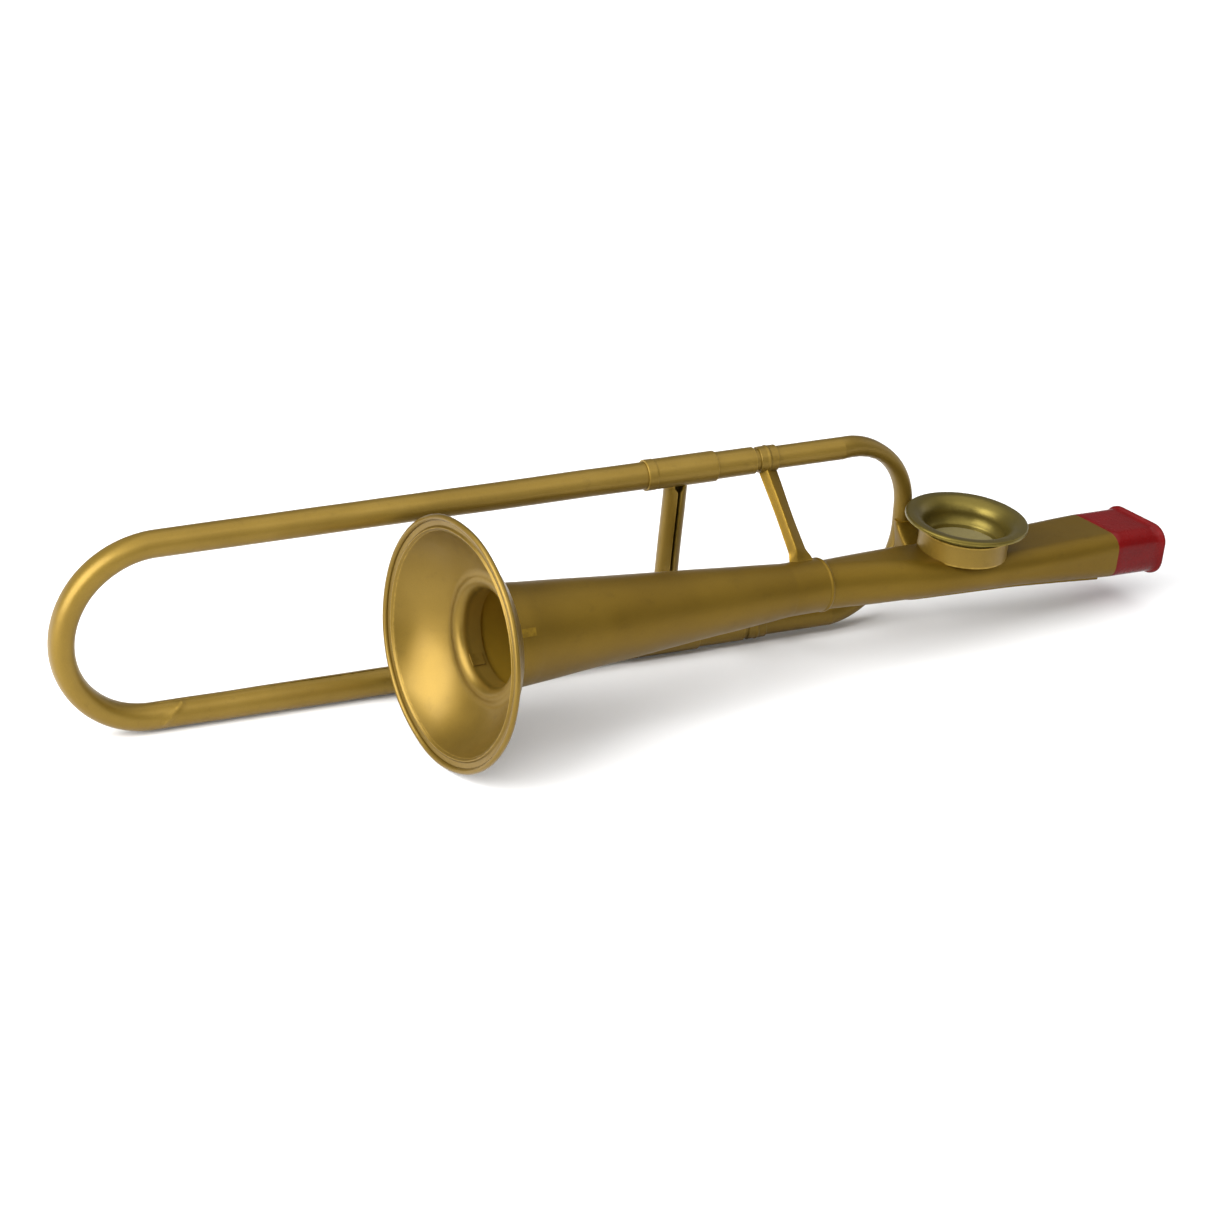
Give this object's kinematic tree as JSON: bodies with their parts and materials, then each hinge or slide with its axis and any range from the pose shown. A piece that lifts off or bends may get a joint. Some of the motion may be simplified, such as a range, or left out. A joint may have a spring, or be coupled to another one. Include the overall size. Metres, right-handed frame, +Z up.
{
  "type": "toy slide kazoo",
  "caption": "Tin toy kazoo shaped like a trombone: flared bell, cone, flat body with a membrane turret and red mouthpiece, beside a loop slide that pulls out.",
  "frame": {"origin": "under the middle of the whole toy, on the surface that the bell rim and the lower ferrule rest on", "axes": "+X runs along the slide towards the mouthpiece, +Z is up across the slide's loop, and the bell and kazoo body stand on the -Y side"},
  "size_m": [0.3546, 0.087, 0.0751],
  "materials": {
    "gold_lacquer": "worn gold lacquer over tinplate, satin",
    "cap_lacquer": "bright worn brass lacquer",
    "red_plastic": "glossy dark red",
    "film": "thin waxed film",
    "fibre": "pressed fibre ring"
  },
  "bodies": {
    "horn": {"bell_flare": "gold_lacquer", "bell_cone": "gold_lacquer", "kazoo_body": "gold_lacquer", "body_seam": "gold_lacquer", "mouthpiece": "red_plastic", "turret_cup": "cap_lacquer", "membrane_seat": "fibre", "membrane": "film", "bow_saddle": "gold_lacquer", "back_bow": "gold_lacquer", "inner_tube_upper": "gold_lacquer", "inner_tube_lower": "gold_lacquer", "collar_upper": "gold_lacquer", "collar_lower": "gold_lacquer", "horn_brace_upper": "gold_lacquer", "horn_brace_lower": "gold_lacquer"},
    "slide": {"front_bow": "gold_lacquer", "outer_tube_upper": "gold_lacquer", "outer_tube_lower": "gold_lacquer", "ferrule_upper": "gold_lacquer", "ferrule_lower": "gold_lacquer", "slide_brace": "gold_lacquer"},
    "cap": {"turret_cap": "cap_lacquer"}
  },
  "joints": [
    {"name": "slide_out", "type": "slide", "parent": "horn", "child": "slide", "axis": [-1, 0, 0], "range_m": [0, 0.12]},
    {"name": "cap_pull", "type": "slide", "parent": "horn", "child": "cap", "axis": [0.0879, 0.0133, 0.996], "range_m": [0, 0.012]}
  ]
}
